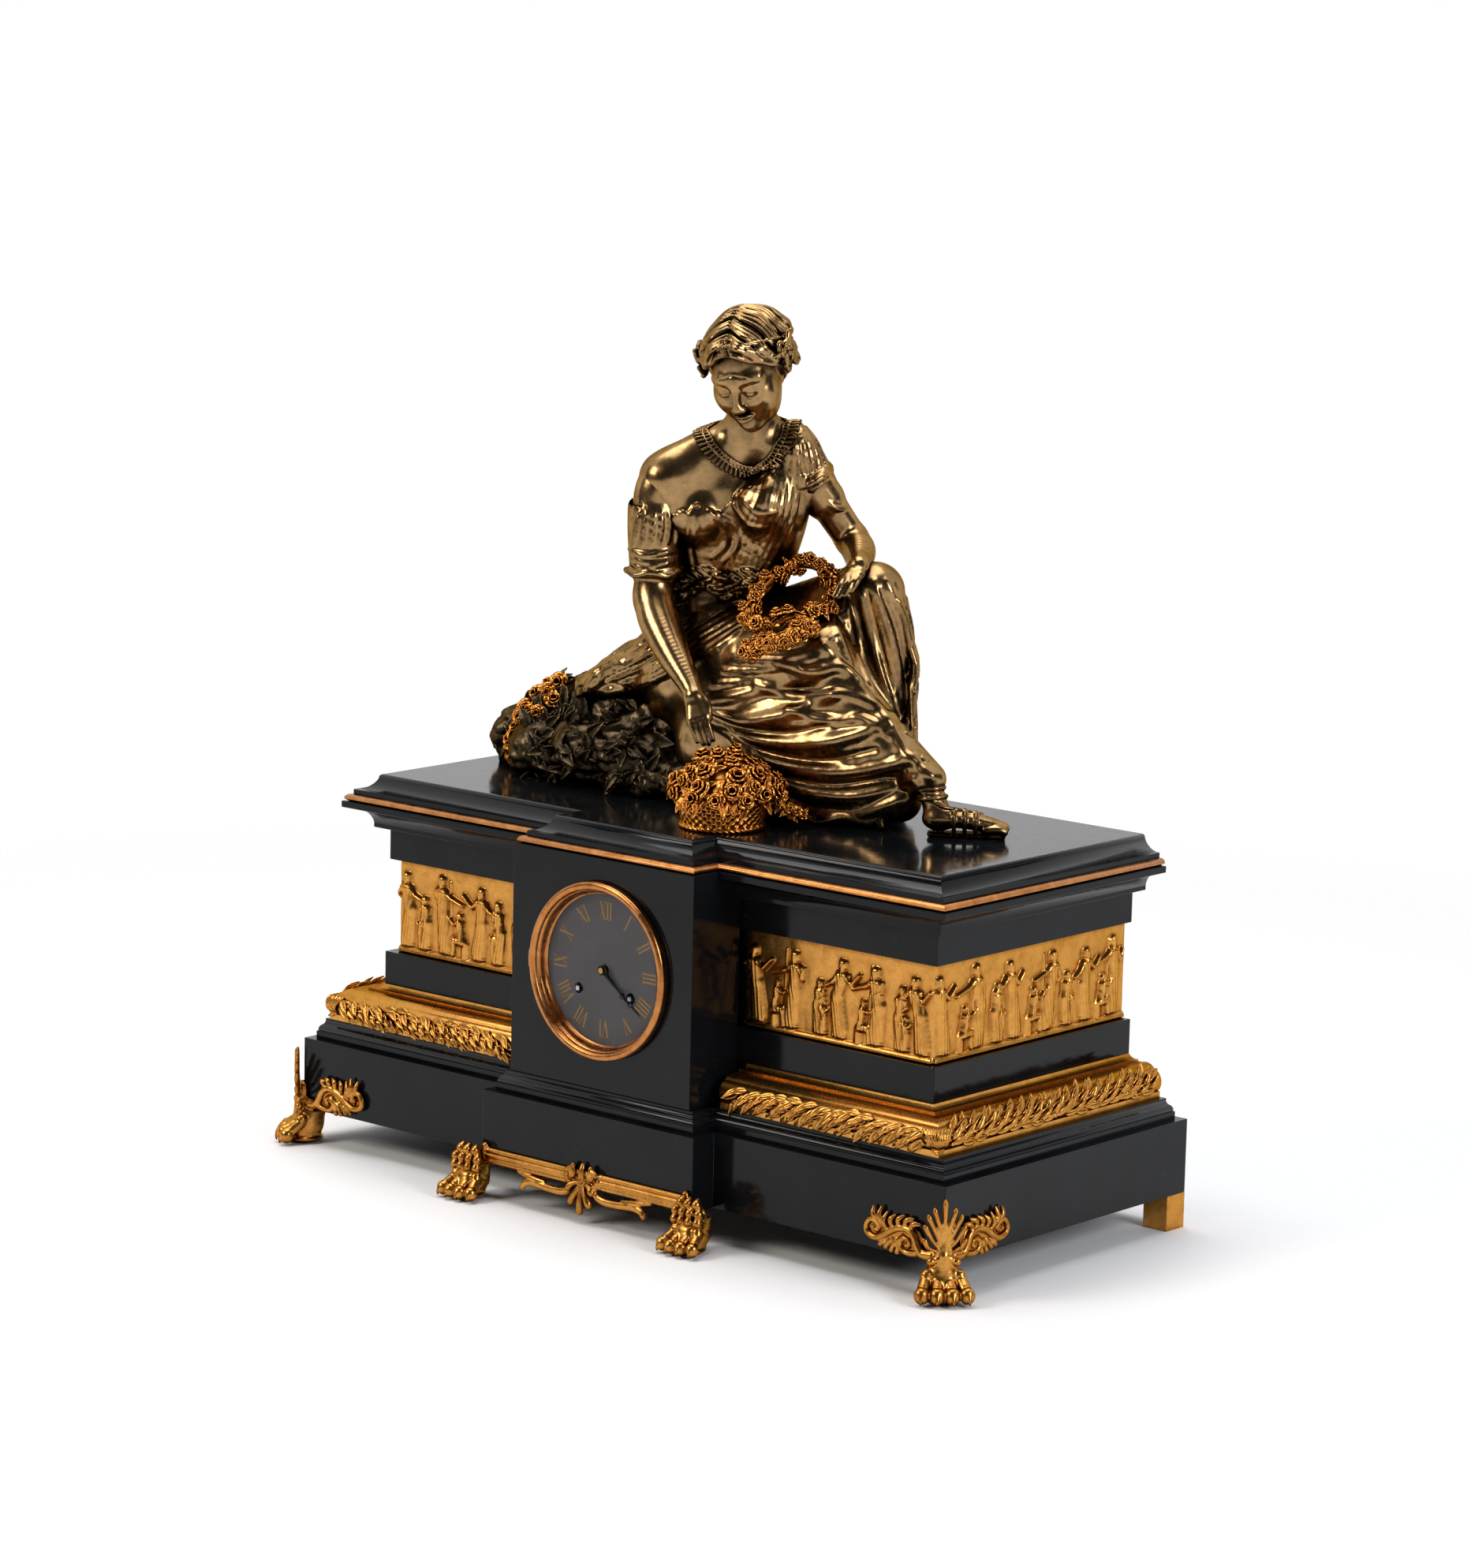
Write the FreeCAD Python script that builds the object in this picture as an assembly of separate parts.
import FreeCAD, Part
import math
import os

# Figural mantel clock: a black slate case with gilt mounts, a round eight-day movement that
# strikes on a bell, and a seated bronze figure with a garland and a flower basket on top.
# All lengths are millimetres. X runs to the right, -Y to the front and +Z up.
# Depths are measured from the middle of the dado, and the saved parts are shifted so that
# the origin lies on the floor in the middle of the whole clock.

os.makedirs("parts", exist_ok=True)
Vector = FreeCAD.Vector
UP = Vector(0, 0, 1)
BACKWARD = Vector(0, 1, 0)

# case levels
foot_height = 26.0
plinth_height = 54.0
step_height = 15.0
torus_height = 27.8
dado_band_height = 25.1
frieze_height = 70.7
upper_band_height = 24.2
cornice_height = 20.0
fillet_height = 5.2
top_height = 15.2

# case plan
dado_width = 530.4
dado_depth = 225.1
break_width = 124.8
break_forward = 26.0
plinth_side_reach = 44.8
plinth_front_reach = 40.5
plinth_back_reach = 12.6
plinth_break_width = 203.6
plinth_break_forward = 22.0
step_inset = 6.5
torus_reach = 28.6
torus_end_gap = 10.0
upper_band_inset = 2.0
cornice_reach = 24.0
fillet_reach = 22.5
top_reach = 17.5
back_reach = 4.0
slab_wall = 16.0
plinth_wall = 30.0
plinth_roof = 20.0
cavity_half_width = 70.4
cavity_back_clearance = 10.0
frieze_bed = 11.0
frieze_plate = 3.0
frieze_rail_height = 5.0
frieze_rail_reach = 2.5
relief_height = 3.0
relief_figure_width = 20.0
relief_side_count = 5
relief_front_count = 4

# dial and bezel
dial_rise = 13.1
case_hole_radius = 60.5
bezel_radius = 64.7
bezel_depth = 5.2
bezel_flat = 2.6
bezel_opening_radius = 58.8
sight_radius = 54.8
sight_wall = 1.0
frame_radius = 63.4
frame_bore_radius = 59.6
frame_thickness = 1.5
body_gap = 0.3
glass_thickness = 1.5
dial_radius = 59.0
dial_thickness = 3.0
dial_setback = 4.5
winding_hole_radius = 4.0
hand_thickness = 0.6
hand_gap = 1.4
minute_hand_length = 47.0
hour_hand_length = 33.0
minute_hand_angle = 126.0
hour_hand_angle = 130.5
hand_root_width = 2.2
hand_tip_width = 1.0
hand_eye_radius = 2.4
hand_eye_share = 0.74
hand_eye_hole_share = 0.6
hub_radius = 3.6

# hinges
knuckle_radius = 1.7
knuckle_length = 4.0
hinge_pin_radius = 0.8
running_gap = 0.05

# movement
plate_radius = 46.0
plate_thickness = 2.0
plate_spacing = 40.0
dial_post_length = 9.0
dial_post_radius = 2.0
pillar_radius = 3.0
pillar_reach = 41.5
pivot_radius = 0.8
arbor_radius = 1.3
end_shake = 0.2
centre_pivot_radius = 1.6
cannon_radius = 2.1
hour_pipe_wall = 0.9
wheel_thickness = 1.5
pinion_length = 5.0
winding_arbor_radius = 2.4
collar_share = 1.2
pillar_degrees = (68, 112, 245, 295)
dial_post_degrees = (90, 210, 330)
blows_in_twelve_hours = 90
winding_square = 3.2
winding_side = 25.0
winding_drop = 17.0
barrel_drum_radius = 13.6
barrel_drum_length = 16.0
barrel_ring_thickness = 3.0
barrel_module = 0.85
barrel_teeth = 36
second_pinion_teeth = 8
second_module = 0.87
second_wheel_teeth = 30
centre_pinion_teeth = 8
centre_module = 0.78
centre_wheel_teeth = 36
third_pinion_teeth = 8
third_module = 0.78
third_wheel_teeth = 30
escape_pinion_teeth = 8
escape_teeth = 24
escape_tip_radius = 10.5
escape_tooth_depth = 2.4
motion_module = 0.75
cannon_teeth = 8
minute_wheel_teeth = 24
minute_pinion_teeth = 8
hour_wheel_teeth = 32
pin_module = 0.78
pin_wheel_teeth = 28
pin_circle_share = 0.78
pin_radius = 0.6
pin_length = 3.0
pin_count = 8
fly_pinion_teeth = 8
fly_span = 15.0
fly_blade = 8.0
ratchet_teeth = 14
ratchet_module = 0.9
count_wheel_radius = 13.0
count_notch = 2.4
tooth_addendum_share = 0.75
tooth_dedendum_share = 1.2
round_bar_sides = 6
drum_sides = 12
large_ring_sides = 32

# levels inside the movement, from the inner face of the front plate
barrel_level = 3.0
second_level = 21.5
centre_level = 26.5
third_level = 35.0
escape_level = 7.0
pin_level = 29.5
fly_level = 12.0
hammer_level = 31.9
third_angle = 100.0
strike_second_angle = 95.0
pin_wheel_angle = 62.0
fly_angle = 110.0
escape_side = 0.0
pallet_rise = 13.5
pallet_reach = 8.4
pallet_width = 2.2
pendulum_swing = 4.0
crutch_gap = 4.0
crutch_length = 33.0
crutch_width = 2.4
fork_depth = 6.0
fork_wall = 1.2
suspension_offset = 9.0
suspension_width = 5.0
suspension_length = 12.0
rod_radius = 1.1
pendulum_length = 118.0
bob_radius = 18.0
bob_depth = 9.0
bob_rim_share = 0.25
nut_radius = 3.0
nut_length = 3.5
cock_width = 9.0
bell_side = 9.0
bell_rise = 22.0
bell_radius = 34.0
bell_depth = 22.0
bell_wall = 1.4
bell_gap = 18.0
bell_post_radius = 2.4
bell_seat_share = 1.8
hammer_side = 38.0
hammer_rise = 14.0
hammer_head_radius = 3.2
hammer_head_length = 8.0
hammer_arm_width = 2.2
hammer_tail_length = 8.0

# back of the case
strap_width = 12.0
strap_thickness = 1.5
strap_offset = 50.0
strap_tab = 9.0
strap_screw_radius = 1.8
strap_screw_head = 3.4
strap_screw_fit = 0.2
back_hole_radius = 55.0
back_frame_radius = 60.0
back_frame_thickness = 2.0
door_radius = 57.2
door_thickness = 1.8
door_knob_radius = 3.0
door_knob_length = 6.0
door_knob_inset = 8.0

# gilt feet
rear_foot_side = 21.0
toe_count = 4
toe_radius = 6.0
toe_length = 24.0
toe_spread = 9.0
paw_heel_radius = 12.0
paw_setback = 8.0
paw_fan_share = 0.16
toe_width_share = 0.82
corner_leaf_height = 42.0
corner_leaf_width = 34.0
corner_leaf_thickness = 4.0
wing_length = 62.0
wing_height = 32.0
wing_thickness = 4.0
centre_foot_overhang = 5.2
centre_foot_setback = 4.0
apron_bar_height = 11.0
apron_thickness = 4.0
apron_leaf_width = 30.0
apron_leaf_height = 27.0
apron_loop_length = 56.0
apron_loop_height = 9.0
apron_loop_wall = 2.6

# bronze figure, rock, basket and garlands
figure_height = 366.8
limb_sides = 8
body_sides = 9
toe_sides = 5
pin_sides = 4
basket_side = 46.0
basket_front = 87.0
basket_foot_radius = 29.0
basket_rim_radius = 35.0
basket_height = 27.0
basket_wall = 3.0
basket_foot_height = 5.0
flower_heap_height = 40.0
flower_spread = 8.0
heap_level_share = 0.7
heap_shoulder_share = 0.8
heap_top_share = 0.35
wreath_thickness = 9.0
wreath_segments = 14

# levels and planes that follow
plinth_top = foot_height + plinth_height
step_top = plinth_top + step_height
torus_top = step_top + torus_height
dado_top = torus_top + dado_band_height
frieze_top = dado_top + frieze_height
band_top = frieze_top + upper_band_height
cornice_top = band_top + cornice_height
fillet_top = cornice_top + fillet_height
slab_top = fillet_top + top_height
dial_height = (step_top + band_top) / 2 + dial_rise
centre_foot_side = plinth_break_width / 2 + centre_foot_overhang
half_width = dado_width / 2
half_depth = dado_depth / 2
back_plane = half_depth + back_reach
block_front = half_depth + break_forward + cornice_reach
block_half_width = break_width / 2 + cornice_reach
overrun = slab_wall

plinth_front = half_depth + plinth_front_reach
plinth_back = half_depth + plinth_back_reach


# the origin lies midway between the centre paws' tips and the back of the plinth
def save(node, *solids):
    shape = solids[0] if len(solids) == 1 else Part.makeCompound(list(solids))
    shape = shape.copy()
    shape.translate(Vector(0, -(centre_paw.BoundBox.YMin + plinth_back) / 2, 0))
    shape.exportStep("parts/" + node + ".step")
    print(node, round(shape.Volume / 1000, 2), "cm3", "valid" if shape.isValid() else "NOT VALID")


def joined(first, *others):
    return first.multiFuse(list(others)).removeSplitter()


def box(low_x, high_x, low_y, high_y, low_z, high_z):
    corner = Vector(low_x, low_y, low_z)
    return Part.makeBox(high_x - low_x, high_y - low_y, high_z - low_z, corner)


def mirrored(shape):
    return shape.mirror(Vector(0, 0, 0), Vector(1, 0, 0))


# a solid from a plane outline of corner points, pushed along a direction
def plate(points, direction):
    face = Part.Face(Part.makePolygon(points + points[:1]))
    return face.extrude(direction)


# a solid with flat sides through rings of points, capped at both ends or closed on itself
def faceted(rings, closes=False):
    faces = []
    count = len(rings[0])
    followers = rings[1:] + rings[:1] if closes else rings[1:]
    for near, far in zip(rings, followers):
        for number in range(count):
            after = (number + 1) % count
            for corners in ([near[number], near[after], far[after]],
                            [near[number], far[after], far[number]]):
                faces.append(Part.Face(Part.makePolygon(corners + corners[:1])))
    if not closes:
        for end in (rings[0], rings[-1]):
            faces.append(Part.Face(Part.makePolygon(end + end[:1])))
    solid = Part.makeSolid(Part.makeShell(faces))
    if solid.Volume < 0:
        solid.reverse()
    return solid.removeSplitter()


# the eight corners of a break-front outline, from the back left corner round the front
def outline(side, back, front, centre_side, centre_front, height):
    corners = [(-side, back), (-side, -front), (-centre_side, -front), (-centre_side, -centre_front),
               (centre_side, -centre_front), (centre_side, -front), (side, -front), (side, back)]
    return [Vector(x, y, height) for x, y in corners]


def dado_outline(reach, back, height):
    return outline(half_width + reach, back, half_depth + reach, break_width / 2 + reach,
                   half_depth + break_forward + reach, height)


def plain_outline(reach, back, height):
    side = half_width + reach
    front = half_depth + reach
    return [Vector(-side, back, height), Vector(-side, -front, height),
            Vector(side, -front, height), Vector(side, back, height)]


def plinth_outline(inset, height):
    return outline(half_width + plinth_side_reach - inset, plinth_back - inset, plinth_front - inset,
                   plinth_break_width / 2 - inset, plinth_front + plinth_break_forward - inset, height)


# a moulding's cross-section wire at a point of its path, outward along a direction, from steps
# in shares of its depth and height: two numbers for a line, four for an arc through a point
def section(start, outward, depth, height, steps_in_shares):
    def point(out_share, up_share):
        return start + outward * (depth * out_share) + UP * (height * up_share)

    edges = []
    here = point(*steps_in_shares[0])
    for step in steps_in_shares[1:]:
        there = point(*step[-2:])
        if len(step) == 2:
            edges.append(Part.LineSegment(here, there).toShape())
        else:
            edges.append(Part.Arc(here, point(*step[:2]), there).toShape())
        here = there
    return Part.Wire(edges)


# a closed moulding swept with mitred corners round an outline
def moulding_ring(corners, depth, height, steps_in_shares):
    middle = (corners[0] + corners[1]) * 0.5
    path = Part.makePolygon([middle] + corners[1:] + [corners[0], middle])
    profile = section(middle, Vector(-1, 0, 0), depth, height, steps_in_shares)
    return path.makePipeShell([profile], True, False, 1)


def moulded_slab(corners, core_corners, depth, height, steps_in_shares):
    ring = moulding_ring(corners, depth, height, steps_in_shares)
    core = plate(core_corners, UP * height)
    return joined(ring, core)


# case: plinth, step moulding, wings, dial block, back panel, cornice, gilt fillet and top

def make_plinth():
    body = plate(plinth_outline(0, foot_height), UP * plinth_height)
    hollow = plate(plinth_outline(plinth_wall, foot_height - overrun),
                   UP * (plinth_height - plinth_roof + overrun))
    save("plinth", body.cut(hollow))


step_shares = [(0, 0), (0, 0.36), (-0.1, 0.36), (-0.17, 0.6, -0.3, 0.68), (-0.42, 0.76, -0.48, 0.92),
               (-0.48, 1), (-1, 1), (-1, 0), (0, 0)]
step_depth = 10.0


def cavity(low_z, high_z):
    low_y = slab_wall - block_front
    high_y = half_depth - slab_wall - cavity_back_clearance
    return box(-cavity_half_width, cavity_half_width, low_y, high_y, low_z, high_z)


def make_plinth_moulding():
    corners = plinth_outline(step_inset, plinth_top)
    core = plinth_outline(step_inset + step_depth / 2, plinth_top)
    slab = moulded_slab(corners, core, step_depth, step_height, step_shares)
    save("plinth_moulding", slab.cut(cavity(plinth_top - overrun, step_top + overrun)))


def make_wings():
    block = box(cavity_half_width, half_width, -half_depth, half_depth, step_top, band_top)
    bed_side = half_width - frieze_bed
    bed_depth = half_depth - frieze_bed
    core = box(cavity_half_width, bed_side, -bed_depth, half_depth, dado_top, frieze_top)
    recess = box(cavity_half_width - overrun, half_width + overrun, -half_depth - overrun,
                 half_depth + overrun, dado_top, frieze_top).cut(core)
    set_back = half_width - upper_band_inset
    band = box(cavity_half_width - overrun, half_width + overrun, -half_depth - overrun,
               half_depth + overrun, frieze_top, band_top + overrun)
    band = band.cut(box(cavity_half_width - overrun, set_back, -half_depth + upper_band_inset,
                        half_depth, frieze_top - overrun, band_top + overrun))
    hollow = box(cavity_half_width - overrun, bed_side - slab_wall, -bed_depth + slab_wall,
                 bed_depth - slab_wall, step_top - overrun, band_top + overrun)
    wing = block.cut(recess).cut(band).cut(hollow)
    save("right_wing", wing)
    save("left_wing", mirrored(wing))


def make_dial_block():
    block = box(-block_half_width, block_half_width, -block_front, -half_depth, step_top, cornice_top)
    hollow = box(-cavity_half_width, cavity_half_width, slab_wall - block_front,
                 overrun - half_depth, step_top - overrun, band_top)
    hole = bore(centre_spot, case_hole_radius, block_face, block_face + slab_wall, large_ring_sides)
    save("dial_block", block.cut(hollow).cut(hole))


def make_back_panel():
    panel = box(-cavity_half_width, cavity_half_width, half_depth - slab_wall, half_depth,
                step_top, band_top)
    hole = bore(centre_spot, back_hole_radius, half_depth - slab_wall, half_depth, large_ring_sides)
    save("back_panel", panel.cut(hole))


cornice_shares = [(-0.72, 0), (-0.72, 0.17), (-0.62, 0.48, -0.12, 0.72), (0, 0.76), (0, 1),
                  (-1, 1), (-1, 0), (-0.72, 0)]
fillet_shares = [(-0.12, 0), (0, 0.3), (0, 0.55), (-0.058, 0.87, -0.15, 1), (-1, 1), (-1, 0), (-0.12, 0)]
top_shares = [(0, 0), (0, 0.24), (-0.07, 0.24), (-0.5, 0.42, -0.76, 0.82), (-0.8, 0.95, -0.9, 1),
              (-1.2, 1), (-1.2, 0), (0, 0)]


def behind(plane, low_z, high_z):
    far = half_width + cornice_reach + overrun
    return box(-far, far, plane, plane + cornice_reach + overrun, low_z - overrun, high_z + overrun)


def make_cornice():
    corners = plain_outline(cornice_reach, back_plane + cornice_reach, band_top)
    core = plain_outline(cornice_reach / 8, back_plane, band_top)
    slab = moulded_slab(corners, core, cornice_reach, cornice_height, cornice_shares)
    notch = box(-block_half_width, block_half_width, -block_front - overrun, -half_depth,
                band_top - overrun, cornice_top + overrun)
    save("cornice", slab.cut(notch).cut(behind(back_plane, band_top, cornice_top)))


def make_gilt_fillet():
    corners = dado_outline(fillet_reach, back_plane + fillet_reach, cornice_top)
    ring = moulding_ring(corners, fillet_reach, fillet_height, fillet_shares)
    save("gilt_fillet", ring.cut(behind(back_plane, cornice_top, fillet_top)))


def make_top_slab():
    corners = dado_outline(top_reach, back_plane + top_reach, fillet_top)
    core = dado_outline(0, back_plane, fillet_top)
    slab = moulded_slab(corners, core, top_reach, top_height, top_shares)
    bed = dado_outline(0, back_plane, cornice_top)
    bed = plate(bed, UP * fillet_height)
    slab = joined(slab, bed)
    save("top_slab", slab.cut(behind(back_plane, cornice_top, slab_top)))


torus_shares = [(-1, 0), (0, 0), (0, 0.16), (-0.06, 0.16), (0.035, 0.46, -0.18, 0.72),
                (-0.38, 0.85, -0.58, 0.84), (-0.7, 0.84), (-0.7, 0.9), (-0.92, 0.92, -1, 1), (-1, 0)]


def make_torus():
    side = half_width + torus_reach
    front = half_depth + torus_reach
    start = Vector(block_half_width + torus_end_gap, -front, step_top)
    corner = Vector(side, -front, step_top)
    finish = Vector(side, half_depth, step_top)
    path = Part.makePolygon([start, corner, finish])
    profile = section(start, Vector(0, -1, 0), torus_reach, torus_height, torus_shares)
    torus = path.makePipeShell([profile], True, False, 1)
    save("right_torus", torus)
    save("left_torus", mirrored(torus))


# one robed figure of the relief: a tapering body and a head, flat at the back
def relief_figure(foot, along, outward, height):
    outline_shares = [(-0.5, 0), (0.5, 0), (0.32, 0.5), (0.4, 0.74), (0.1, 0.82), (0, 1),
                      (-0.1, 0.82), (-0.4, 0.74), (-0.32, 0.5)]
    points = [foot + along * (relief_figure_width * a) + UP * (height * b) for a, b in outline_shares]
    return plate(points, outward * relief_height)


relief_height_shares = [0.92, 0.86, 0.52, 0.9, 0.55, 0.88, 0.84]


def make_friezes():
    face_x = half_width - frieze_bed
    face_y = half_depth - frieze_bed
    thick = frieze_plate
    front = box(block_half_width, face_x + thick, -face_y - thick, -face_y, dado_top, frieze_top)
    side = box(face_x, face_x + thick, -face_y, half_depth, dado_top, frieze_top)
    proud = thick + frieze_rail_reach
    rail_top = dado_top + frieze_rail_height
    front_rail = box(block_half_width, face_x + proud, -face_y - proud, -face_y - thick,
                     dado_top, rail_top)
    side_rail = box(face_x + thick, face_x + proud, -face_y - thick, half_depth, dado_top, rail_top)
    room = frieze_top - rail_top
    figures = []
    run = face_x - block_half_width
    for number in range(relief_front_count):
        x = block_half_width + run * (number + 0.5) / relief_front_count
        foot = Vector(x, -face_y - thick, rail_top)
        tall = room * relief_height_shares[number % len(relief_height_shares)]
        figures.append(relief_figure(foot, Vector(1, 0, 0), Vector(0, -1, 0), tall))
    run = face_y + half_depth
    for number in range(relief_side_count):
        y = -face_y + run * (number + 0.5) / relief_side_count
        foot = Vector(face_x + thick, y, rail_top)
        tall = room * relief_height_shares[number % len(relief_height_shares)]
        figures.append(relief_figure(foot, BACKWARD, Vector(1, 0, 0), tall))
    frieze = joined(front, side, front_rail, side_rail, *figures)
    save("right_frieze", frieze)
    save("left_frieze", mirrored(frieze))


# gilt feet and mounts

# a ring of corner points round a place, square to a direction
def ring(centre, direction, wide, tall, sides, side_axis):
    forward = Vector(direction).normalize()
    across = Vector(side_axis) - forward * side_axis.dot(forward)
    across.normalize()
    up = forward.cross(across)
    points = []
    for number in range(sides):
        angle = 2 * math.pi * (number + 0.5) / sides
        points.append(centre + across * (wide * math.cos(angle)) + up * (tall * math.sin(angle)))
    return points


# a limb through rings of its own half width and half height at each place
def limb(places, sides=limb_sides, side_axis=BACKWARD):
    rings = []
    for number, (centre, wide, tall) in enumerate(places):
        before = places[max(number - 1, 0)][0]
        after = places[min(number + 1, len(places) - 1)][0]
        rings.append(ring(centre, after - before, wide, tall, sides, side_axis))
    return faceted(rings)


# toes in shares of the toe length and radius: forward, up, half thickness
pad_shares = [(0, 0.7, 0.8), (0.5, 0.8, 1), (1, 0.6, 0.8)]
toe_shares = [(-0.35, 1.9, 0.9), (0.2, 2.2, 1.05), (0.7, 1.2, 1.05), (1.0, 0.7, 0.6)]


def make_paw(x, y, forward, across):
    pieces = []
    for number in range(toe_count):
        spread = number - (toe_count - 1) / 2
        turn = forward + across * (spread * paw_fan_share)
        turn.normalize()
        base = Vector(x, y, 0) + across * (spread * toe_spread)
        places = []
        for ahead_share, up_share, thick_share in toe_shares:
            centre = base + turn * ((toe_length - toe_radius) * ahead_share) + UP * (toe_radius * up_share)
            thick = toe_radius * thick_share
            places.append((centre, thick * toe_width_share, thick))
        pieces.append(limb(places, toe_sides, across))
    heel = Vector(x, y, 0) - forward * (paw_heel_radius / 2)
    wide = toe_spread * toe_count / 2
    pad = limb([(heel + UP * (foot_height * a), wide * b, paw_heel_radius * c) for a, b, c in pad_shares],
               body_sides, across)
    paw = joined(pad, *pieces)
    far = toe_length * 3
    floor = box(x - far, x + far, y - far, y + far, -far, 0)
    roof = box(x - far, x + far, y - far, y + far, foot_height, foot_height + far)
    return paw.cut(floor).cut(roof)


# a fan of leaf tips as shares of its width and height, standing on its narrow foot
fan_shares = [(-0.12, 0), (-0.3, 0.14), (-0.5, 0.34), (-0.42, 0.46), (-0.47, 0.6), (-0.32, 0.66),
              (-0.32, 0.84), (-0.16, 0.82), (0, 1), (0.16, 0.82), (0.32, 0.84), (0.32, 0.66),
              (0.47, 0.6), (0.42, 0.46), (0.5, 0.34), (0.3, 0.14), (0.12, 0)]
wing_shares = [(0, 0), (0.3, -0.06), (0.55, 0.06), (0.72, 0.2), (0.92, 0.24), (1, 0.5), (0.93, 0.86),
               (0.8, 1), (0.68, 0.86), (0.62, 0.62), (0.42, 0.66), (0.25, 0.5), (0, 0.62)]


def make_corner_feet():
    corner = Vector(half_width + plinth_side_reach, -plinth_front, 0)
    forward = Vector(1, -1, 0).normalize()
    across = Vector(1, 1, 0).normalize()
    tip_room = paw_setback
    paw_place = corner - forward * tip_room
    paw = make_paw(paw_place.x, paw_place.y, forward, across)
    leaf_foot = corner + UP * (foot_height / 2)
    leaf = plate([leaf_foot + across * (corner_leaf_width * a) + UP * (corner_leaf_height * b)
                  for a, b in fan_shares], forward * corner_leaf_thickness)
    side_foot = corner + UP * foot_height
    right_scroll = plate([side_foot + BACKWARD * (wing_length * a) + UP * (wing_height * b)
                          for a, b in wing_shares], Vector(wing_thickness, 0, 0))
    front_scroll = plate([side_foot - Vector(wing_length * a, 0, 0) + UP * (wing_height * b)
                          for a, b in wing_shares], Vector(0, -wing_thickness, 0))
    neck = box(corner.x, corner.x + wing_thickness, corner.y - wing_thickness, corner.y,
               foot_height / 2, foot_height + wing_height / 2)
    far = plinth_height * 3
    slab = box(corner.x - far, corner.x, corner.y, corner.y + far, foot_height, foot_height + far)
    foot = joined(paw, neck, leaf, right_scroll, front_scroll).cut(slab)
    save("right_corner_foot", foot)
    save("left_corner_foot", mirrored(foot))


def make_centre_paw():
    y = -(plinth_front + plinth_break_forward + centre_foot_setback)
    return make_paw(centre_foot_side, y, Vector(0, -1, 0), Vector(1, 0, 0))


def make_rear_feet():
    side = half_width + plinth_side_reach
    right = box(side - rear_foot_side, side, plinth_back - rear_foot_side, plinth_back, 0, foot_height)
    save("rear_feet", right, mirrored(right))


loop_shares = [(0, 0), (0, 1), (0.85, 1), (1, 0.72), (0.9, 0.66), (0.8, 0.8), (0.18, 0.72), (0.14, 0.4),
               (0.3, 0.3), (0.9, 0.22), (0.9, 0)]


def make_apron():
    front = plinth_front + plinth_break_forward
    reach = plinth_break_width / 2 - wing_thickness
    bar = box(-reach, reach, -front - apron_thickness, -front, foot_height, foot_height + apron_bar_height)
    leaf_top = foot_height + apron_bar_height
    middle = Vector(0, -front, leaf_top)
    leaf = plate([middle + Vector(apron_leaf_width * a, 0, -apron_leaf_height * b)
                  for a, b in fan_shares], Vector(0, -apron_thickness * 1.5, 0))
    hang = Vector(apron_leaf_width / 4, -front, foot_height)
    loop = plate([hang + Vector(apron_loop_length * a, 0, -apron_loop_height * b)
                  for a, b in loop_shares], Vector(0, -apron_thickness, 0))
    save("apron_mount", joined(bar, leaf, loop, mirrored(loop)))


# dial, hands and glazed bezel

block_face = -block_front
dial_face = block_face + dial_setback
dial_back = dial_face + dial_thickness
frame_face = block_face - frame_thickness
bezel_back = frame_face - body_gap
bezel_front = bezel_back - bezel_depth
bezel_hinge_x = -bezel_radius - running_gap
bezel_hinge_y = frame_face - knuckle_radius


# a ring turned about an axis that runs backward, from radius and depth pairs, with flat sides
def turned(points, x=0, z=dial_height, sides=large_ring_sides):
    rings = []
    for number in range(sides):
        angle = 2 * math.pi * number / sides
        rings.append([Vector(x + radius * math.cos(angle), y, z + radius * math.sin(angle))
                      for radius, y in points])
    return faceted(rings, True)


def knuckle(x, y, middle_z, length):
    low_z = middle_z - length / 2
    high_z = middle_z + length / 2
    barrel = upright((x, y), knuckle_radius, low_z, high_z, drum_sides)
    room = (hinge_pin_radius + running_gap) / math.cos(math.pi / round_bar_sides)
    return barrel, upright((x, y), room, low_z - overrun, high_z + overrun)


# the hinge leaf that ties a knuckle to the ring beside it
def hinge_leaf(x, y, inner_x, low_y, high_y, middle_z, length):
    low_x = min(x, inner_x)
    high_x = max(x, inner_x)
    return box(low_x, high_x, low_y, high_y, middle_z - length / 2, middle_z + length / 2)


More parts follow.
